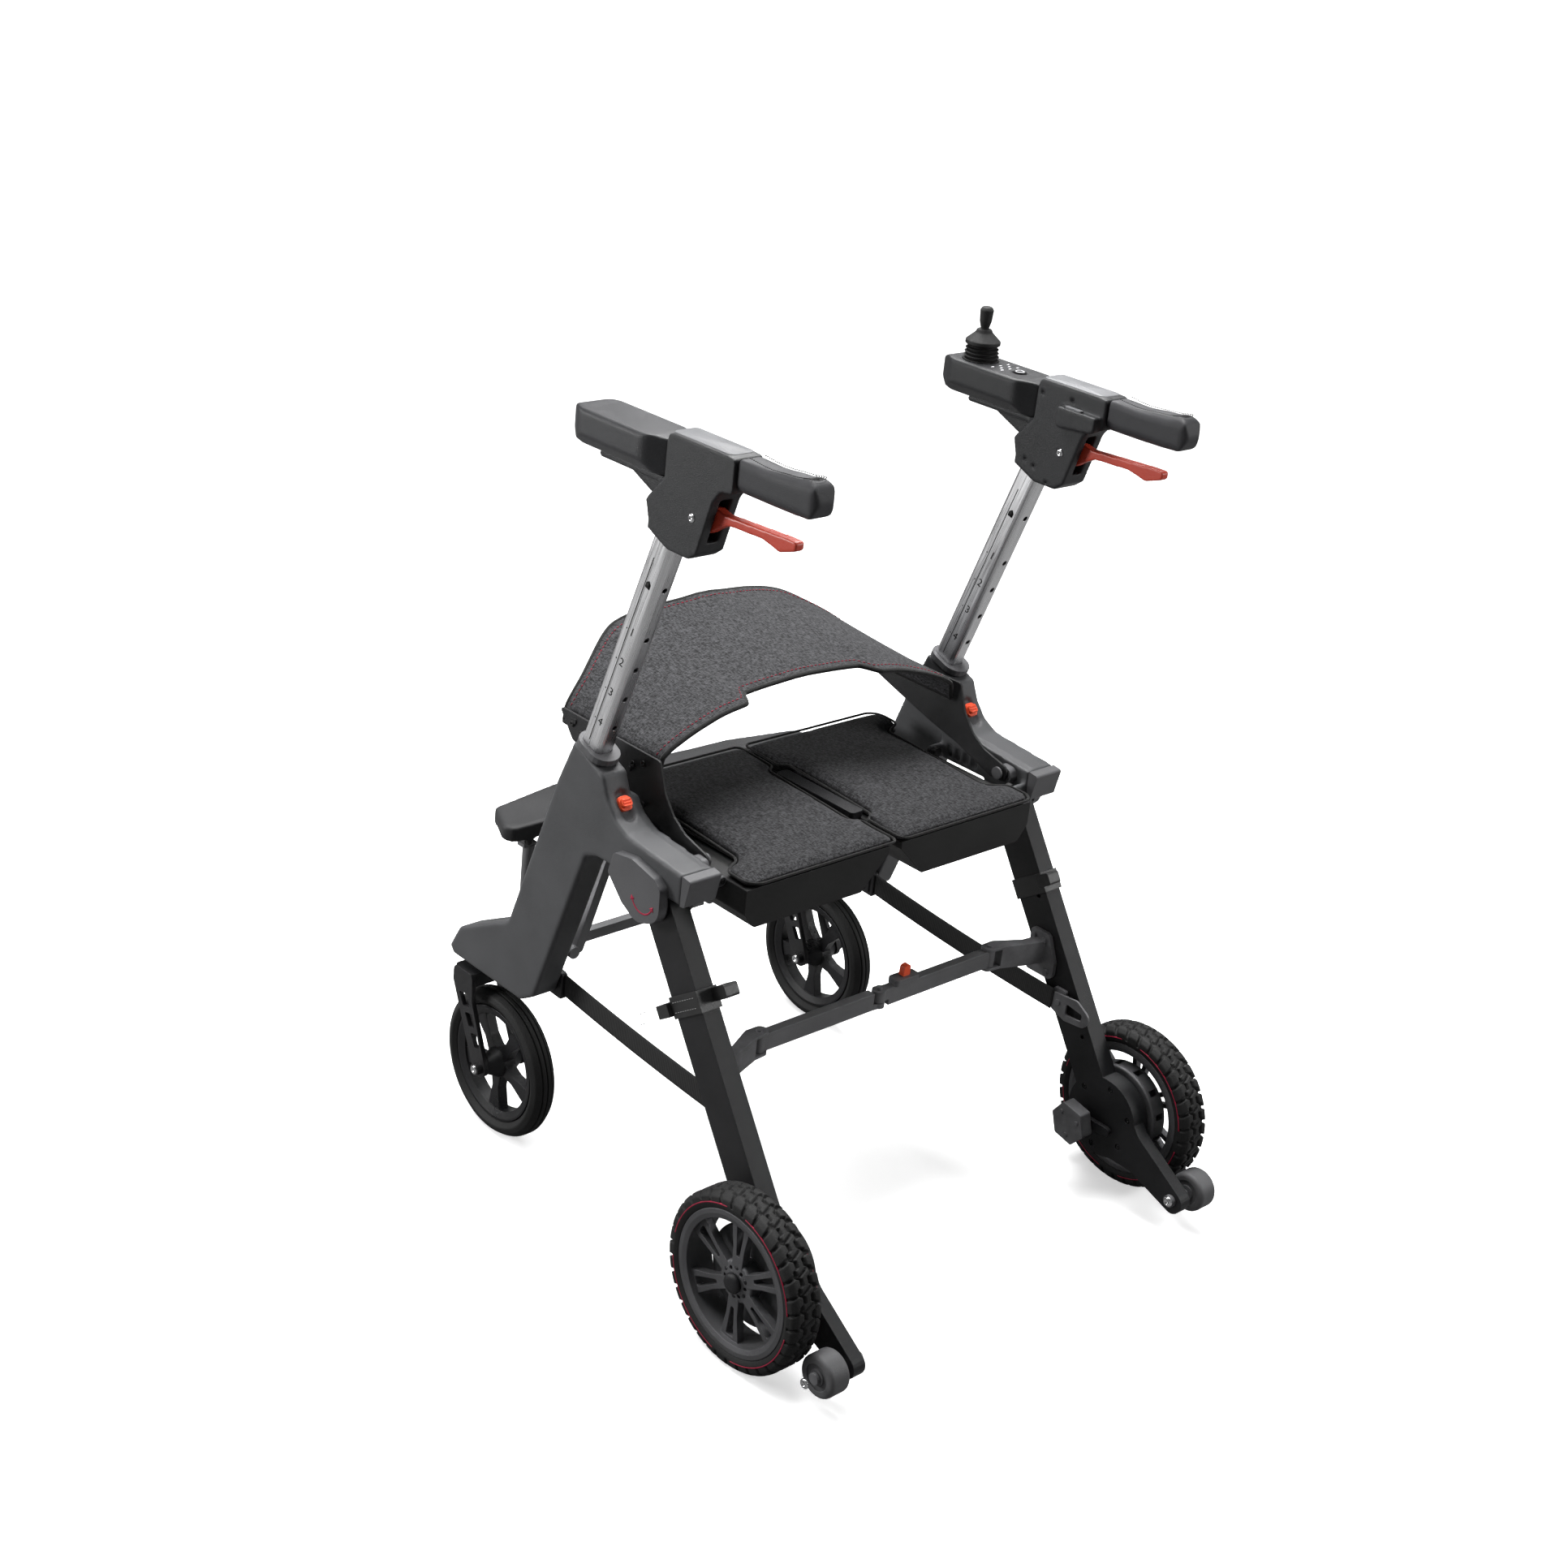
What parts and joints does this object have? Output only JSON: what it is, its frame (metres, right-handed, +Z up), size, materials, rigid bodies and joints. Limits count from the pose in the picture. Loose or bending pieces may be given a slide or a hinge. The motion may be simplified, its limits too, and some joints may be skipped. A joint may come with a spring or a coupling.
{
  "type": "powered rollator",
  "caption": "Motorised walking frame with folding seat, backrest band, braked handles, hub-motor rear wheels, front casters and a joystick armrest for riding.",
  "frame": {"origin": "centre of the footprint on the floor", "axes": "+Z up, +X to the user's left, casters and front at -Y, handles and drive wheels towards +Y"},
  "size_m": [0.7198, 0.794, 1.0695],
  "materials": {
    "charcoal_moulding": "satin",
    "grey_trim": "satin",
    "orange_plastic": "satin",
    "anodised_tube": "brushed",
    "head_moulding": "satin",
    "grip_rubber": "soft",
    "red_lever": "satin",
    "black_leg": "powder coat",
    "gunmetal": "satin",
    "tyre_rubber": "matte",
    "roller_rubber": "matte",
    "black_steel": "satin",
    "grey_bracket": "satin",
    "webbing": "woven",
    "tray_plastic": "matte",
    "seat_fabric": "heather",
    "band_felt": "felt",
    "black_plastic": "satin",
    "bellows_rubber": "matte",
    "steel_part": "brushed"
  },
  "bodies": {
    "left_frame": {"left_side_frame": "charcoal_moulding", "left_frame_trim": "grey_trim", "left_strut": "grey_bracket", "left_strap": "webbing"},
    "left_latch": {"left_slide_latch": "orange_plastic"},
    "left_upright": {"left_upright_tube": "anodised_tube", "left_head": "head_moulding", "left_arm_pad": "charcoal_moulding", "left_grip": "grip_rubber"},
    "left_lever": {"left_brake_lever": "red_lever"},
    "left_leg": {"left_rear_leg": "black_leg", "left_leg_fittings": "grey_bracket"},
    "left_wheel": {"left_drive_rim": "gunmetal", "left_drive_tyre": "tyre_rubber"},
    "left_tip_roller": {"left_roller": "roller_rubber"},
    "left_freewheel": {"left_freewheel_lever": "black_plastic"},
    "left_caster": {"left_caster_fork": "black_steel"},
    "left_caster_wheel": {"left_caster_rim": "black_plastic", "left_caster_tyre": "tyre_rubber"},
    "left_back": {"left_back_plate": "black_steel", "back_band": "band_felt"},
    "left_seat": {"left_seat_tray": "tray_plastic", "left_seat_pad": "seat_fabric"},
    "left_front_brace": {"left_front_link": "grey_bracket"},
    "left_foot": {"left_foot_tube": "grey_bracket"},
    "left_board": {"left_foot_board": "charcoal_moulding"},
    "left_rear_brace": {"left_rear_link": "grey_bracket"},
    "right_frame": {"right_side_frame": "charcoal_moulding", "right_frame_trim": "grey_trim", "right_strut": "grey_bracket", "right_strap": "webbing"},
    "right_latch": {"right_slide_latch": "orange_plastic"},
    "right_upright": {"right_upright_tube": "anodised_tube", "right_head": "head_moulding", "right_joystick_box": "head_moulding", "joystick_bellows": "bellows_rubber", "right_grip": "grip_rubber"},
    "right_lever": {"right_brake_lever": "red_lever"},
    "right_leg": {"right_rear_leg": "black_leg", "right_leg_fittings": "grey_bracket"},
    "right_wheel": {"right_drive_rim": "gunmetal", "right_drive_tyre": "tyre_rubber"},
    "right_tip_roller": {"right_roller": "roller_rubber"},
    "right_freewheel": {"right_freewheel_lever": "black_plastic"},
    "right_caster": {"right_caster_fork": "black_steel"},
    "right_caster_wheel": {"right_caster_rim": "black_plastic", "right_caster_tyre": "tyre_rubber"},
    "right_back": {"right_back_plate": "black_steel"},
    "right_seat": {"right_seat_tray": "tray_plastic", "right_seat_pad": "seat_fabric"},
    "right_front_brace": {"right_front_link": "grey_bracket"},
    "right_foot": {"right_foot_tube": "grey_bracket"},
    "right_board": {"right_foot_board": "charcoal_moulding"},
    "right_rear_brace": {"right_rear_link": "grey_bracket"},
    "handle": {"fold_handle": "black_plastic"},
    "release": {"release_lever": "orange_plastic"},
    "gimbal": {"joystick_gimbal": "steel_part"},
    "stick": {"joystick": "black_plastic"},
    "power": {"power_button": "black_plastic"},
    "thumb": {"thumb_button": "grey_trim"}
  },
  "joints": [
    {"name": "seat_fold", "type": "hinge", "parent": "left_frame", "child": "left_seat", "pos_m": [0.246, 0, 0.499], "axis": [0, 1, 0], "range_deg": [0, 42], "deforming": ["back_band"]},
    {"name": "handle_level", "type": "hinge", "parent": "left_seat", "child": "handle", "pos_m": [0, 0, 0.499], "axis": [0, 1, 0], "range_deg": [-42, 0]},
    {"name": "seat_middle", "type": "hinge", "parent": "left_seat", "child": "right_seat", "pos_m": [0, 0, 0.499], "axis": [0, 1, 0], "range_deg": [-84, 0], "deforming": ["back_band"]},
    {"name": "right_side_fold", "type": "hinge", "parent": "right_seat", "child": "right_frame", "pos_m": [-0.246, 0, 0.499], "axis": [0, 1, 0], "range_deg": [0, 42], "deforming": ["back_band"]},
    {"name": "front_brace_fold", "type": "hinge", "parent": "left_frame", "child": "left_front_brace", "pos_m": [0.246, -0.237, 0.29], "axis": [0, 1, 0], "range_deg": [0, 42]},
    {"name": "front_brace_middle", "type": "hinge", "parent": "left_front_brace", "child": "right_front_brace", "pos_m": [0, -0.237, 0.29], "axis": [0, 1, 0], "range_deg": [-84, 0]},
    {"name": "rear_brace_fold", "type": "hinge", "parent": "left_leg", "child": "left_rear_brace", "pos_m": [0.1975, 0.084, 0.291], "axis": [0, 0, 1], "range_deg": [0, 47.5]},
    {"name": "rear_brace_middle", "type": "hinge", "parent": "left_rear_brace", "child": "right_rear_brace", "pos_m": [0, 0.084, 0.291], "axis": [0, 0, 1], "range_deg": [-95, 0]},
    {"name": "brace_release", "type": "slide", "parent": "right_rear_brace", "child": "release", "axis": [1, 0, 0], "range_m": [0, 0.006], "stiffness_N_per_m": 400},
    {"name": "foot_swing", "type": "hinge", "parent": "left_frame", "child": "left_foot", "pos_m": [0.238, -0.319, 0.275], "axis": [1, 0, 0], "range_deg": [0, 100]},
    {"name": "right_foot_swing", "type": "hinge", "parent": "right_frame", "child": "right_foot", "pos_m": [-0.238, -0.319, 0.275], "axis": [1, 0, 0], "range_deg": [0, 100]},
    {"name": "foot_board_fold", "type": "hinge", "parent": "left_foot", "child": "left_board", "pos_m": [0.246, -0.319, 0.399], "axis": [0, 1, 0], "range_deg": [0, 42]},
    {"name": "foot_board_middle", "type": "hinge", "parent": "left_board", "child": "right_board", "pos_m": [0, -0.319, 0.399], "axis": [0, 1, 0], "range_deg": [-84, 0]},
    {"name": "left_height", "type": "slide", "parent": "left_frame", "child": "left_upright", "axis": [0, 0.3322, 0.9432], "range_m": [-0.244, 0]},
    {"name": "left_latch_slide", "type": "slide", "parent": "left_frame", "child": "left_latch", "axis": [0, 0.6665, -0.7455], "range_m": [0, 0.008], "stiffness_N_per_m": 300},
    {"name": "left_brake", "type": "hinge", "parent": "left_upright", "child": "left_lever", "pos_m": [0.292, 0.016, 0.9305], "axis": [1, 0, 0], "range_deg": [0, 9], "stiffness_Nm_per_rad": 2, "springref_deg": -17.19},
    {"name": "left_leg_fold", "type": "hinge", "parent": "left_frame", "child": "left_leg", "pos_m": [0.292, 0, 0.47], "axis": [-1, 0, 0], "range_deg": [0, 40], "deforming": ["left_strap"]},
    {"name": "left_drive", "type": "hinge", "parent": "left_leg", "child": "left_wheel", "pos_m": [0.337, 0.243, 0.109], "axis": [1, 0, 0], "continuous": true},
    {"name": "left_roller_spin", "type": "hinge", "parent": "left_leg", "child": "left_tip_roller", "pos_m": [0.322, 0.371, 0.053], "axis": [1, 0, 0], "continuous": true},
    {"name": "left_freewheel_turn", "type": "hinge", "parent": "left_leg", "child": "left_freewheel", "pos_m": [0.27, 0.216, 0.095], "axis": [1, 0, 0], "range_deg": [0, 45]},
    {"name": "left_swivel", "type": "hinge", "parent": "left_frame", "child": "left_caster", "pos_m": [0.279, -0.342, 0.25], "axis": [0, 0, 1], "continuous": true},
    {"name": "left_caster_roll", "type": "hinge", "parent": "left_caster", "child": "left_caster_wheel", "pos_m": [0.279, -0.297, 0.1], "axis": [1, 0, 0], "continuous": true},
    {"name": "left_back_flip", "type": "hinge", "parent": "left_frame", "child": "left_back", "pos_m": [0.25, 0.015, 0.512], "axis": [-1, 0, 0], "range_deg": [0, 92]},
    {"name": "right_height", "type": "slide", "parent": "right_frame", "child": "right_upright", "axis": [0, 0.3322, 0.9432], "range_m": [-0.244, 0]},
    {"name": "right_latch_slide", "type": "slide", "parent": "right_frame", "child": "right_latch", "axis": [0, 0.6665, -0.7455], "range_m": [0, 0.008], "stiffness_N_per_m": 300},
    {"name": "right_brake", "type": "hinge", "parent": "right_upright", "child": "right_lever", "pos_m": [-0.292, 0.016, 0.9305], "axis": [1, 0, 0], "range_deg": [0, 9], "stiffness_Nm_per_rad": 2, "springref_deg": -17.19},
    {"name": "right_leg_fold", "type": "hinge", "parent": "right_frame", "child": "right_leg", "pos_m": [-0.292, 0, 0.47], "axis": [-1, 0, 0], "range_deg": [0, 40], "deforming": ["right_strap"]},
    {"name": "right_drive", "type": "hinge", "parent": "right_leg", "child": "right_wheel", "pos_m": [-0.337, 0.243, 0.109], "axis": [1, 0, 0], "continuous": true},
    {"name": "right_roller_spin", "type": "hinge", "parent": "right_leg", "child": "right_tip_roller", "pos_m": [-0.322, 0.371, 0.053], "axis": [1, 0, 0], "continuous": true},
    {"name": "right_freewheel_turn", "type": "hinge", "parent": "right_leg", "child": "right_freewheel", "pos_m": [-0.27, 0.216, 0.095], "axis": [1, 0, 0], "range_deg": [0, 45]},
    {"name": "right_swivel", "type": "hinge", "parent": "right_frame", "child": "right_caster", "pos_m": [-0.279, -0.342, 0.25], "axis": [0, 0, 1], "continuous": true},
    {"name": "right_caster_roll", "type": "hinge", "parent": "right_caster", "child": "right_caster_wheel", "pos_m": [-0.279, -0.297, 0.1], "axis": [1, 0, 0], "continuous": true},
    {"name": "right_back_flip", "type": "hinge", "parent": "right_frame", "child": "right_back", "pos_m": [-0.25, 0.015, 0.512], "axis": [-1, 0, 0], "range_deg": [0, 92]},
    {"name": "joystick_side", "type": "hinge", "parent": "right_upright", "child": "gimbal", "pos_m": [-0.292, -0.149, 0.993], "axis": [0, 1, 0], "range_deg": [-18, 18], "stiffness_Nm_per_rad": 0.06, "deforming": ["joystick_bellows"]},
    {"name": "joystick_forward", "type": "hinge", "parent": "gimbal", "child": "stick", "pos_m": [-0.292, -0.149, 0.993], "axis": [1, 0, 0], "range_deg": [-18, 18], "stiffness_Nm_per_rad": 0.06, "deforming": ["joystick_bellows"]},
    {"name": "power_press", "type": "slide", "parent": "right_upright", "child": "power", "axis": [0, 0, -1], "range_m": [0, 0.0015], "stiffness_N_per_m": 500},
    {"name": "thumb_press", "type": "slide", "parent": "right_upright", "child": "thumb", "axis": [0, 0, -1], "range_m": [0, 0.0015], "stiffness_N_per_m": 500}
  ],
  "couplings": [
    {"joint": "handle_level", "follows": "seat_fold", "ratio": -1},
    {"joint": "seat_middle", "follows": "seat_fold", "ratio": -2},
    {"joint": "right_side_fold", "follows": "seat_fold", "ratio": 1},
    {"joint": "front_brace_fold", "follows": "seat_fold", "ratio": 1},
    {"joint": "front_brace_middle", "follows": "seat_fold", "ratio": -2},
    {"joint": "rear_brace_fold", "follows": "seat_fold", "ratio": 1.1229},
    {"joint": "rear_brace_middle", "follows": "seat_fold", "ratio": -2.2458},
    {"joint": "right_foot_swing", "follows": "foot_swing", "ratio": 1},
    {"joint": "foot_board_fold", "follows": "seat_fold", "ratio": 1},
    {"joint": "foot_board_middle", "follows": "seat_fold", "ratio": -2},
    {"joint": "right_leg_fold", "follows": "left_leg_fold", "ratio": 1},
    {"joint": "right_back_flip", "follows": "left_back_flip", "ratio": 1}
  ]
}
